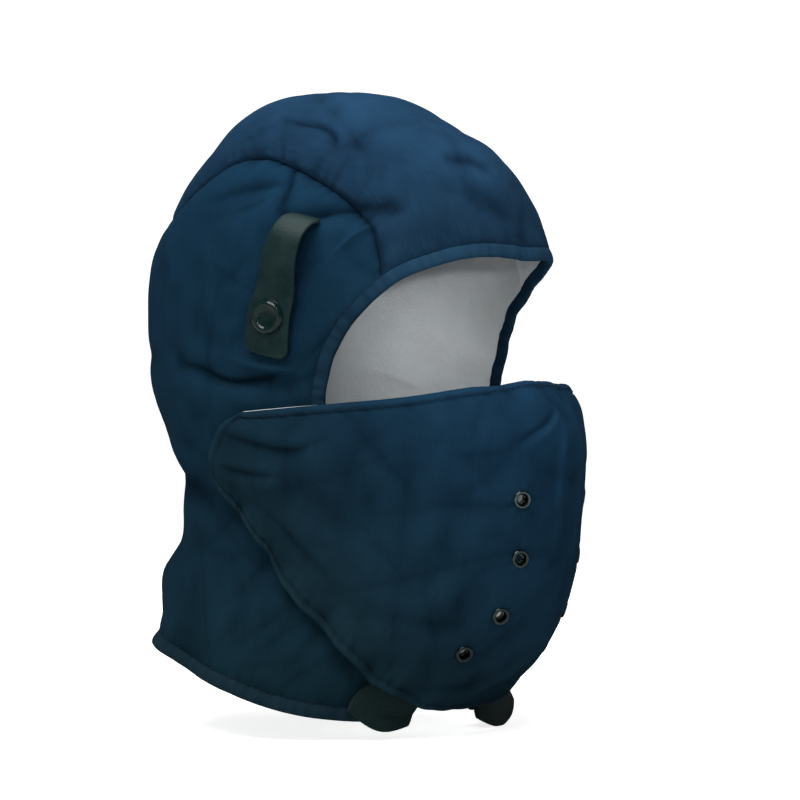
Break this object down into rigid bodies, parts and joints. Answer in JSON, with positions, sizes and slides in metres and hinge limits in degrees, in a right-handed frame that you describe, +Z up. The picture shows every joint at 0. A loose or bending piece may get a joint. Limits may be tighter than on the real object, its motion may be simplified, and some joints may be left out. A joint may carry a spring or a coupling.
{
  "type": "hard hat liner",
  "caption": "Padded cotton winter hood with neck cape, wrap-round mouth mask with breathing eyelets, and snap straps that loop round a helmet's headband, shown in its worn form.",
  "frame": {"origin": "top of the hood's inner face, where it sits on the crown of the head", "axes": "+Z up, -Y the way the wearer faces, -X the wearer's right"},
  "size_m": [0.1792, 0.22, 0.2966],
  "materials": {
    "crown_cotton": "matt woven cotton, slightly faded navy",
    "side_cotton": "matt woven cotton, navy",
    "edge_cotton": "rolled and stitched cotton edge, navy",
    "mask_cotton": "matt woven cotton, navy, creased",
    "lining_cloth": "pale brushed lining",
    "strap_vinyl": "smooth black vinyl with a soft shine",
    "snap_enamel": "glossy black enamel",
    "eyelet_metal": "dull nickel with dark holes",
    "tab_felt": "black looped fastening tape"
  },
  "bodies": {
    "root": {"crown_panel": "crown_cotton", "side_panel_right": "side_cotton", "side_panel_left": "side_cotton", "face_binding": "edge_cotton", "neck_hem": "edge_cotton", "mask_panel": "mask_cotton", "mask_lining": "lining_cloth", "strap_right": "strap_vinyl", "strap_left": "strap_vinyl", "snap_cap_right": "snap_enamel", "snap_cap_left": "snap_enamel", "snap_socket_right": "snap_enamel", "snap_socket_left": "snap_enamel", "chin_tab_right": "tab_felt", "chin_tab_left": "tab_felt", "mask_fastener_right": "tab_felt", "mask_fastener_left": "tab_felt", "eyelet_right_1": "eyelet_metal", "eyelet_right_2": "eyelet_metal", "eyelet_right_3": "eyelet_metal", "eyelet_right_4": "eyelet_metal", "eyelet_left_1": "eyelet_metal", "eyelet_left_2": "eyelet_metal", "eyelet_left_3": "eyelet_metal", "eyelet_left_4": "eyelet_metal"}
  },
  "joints": []
}
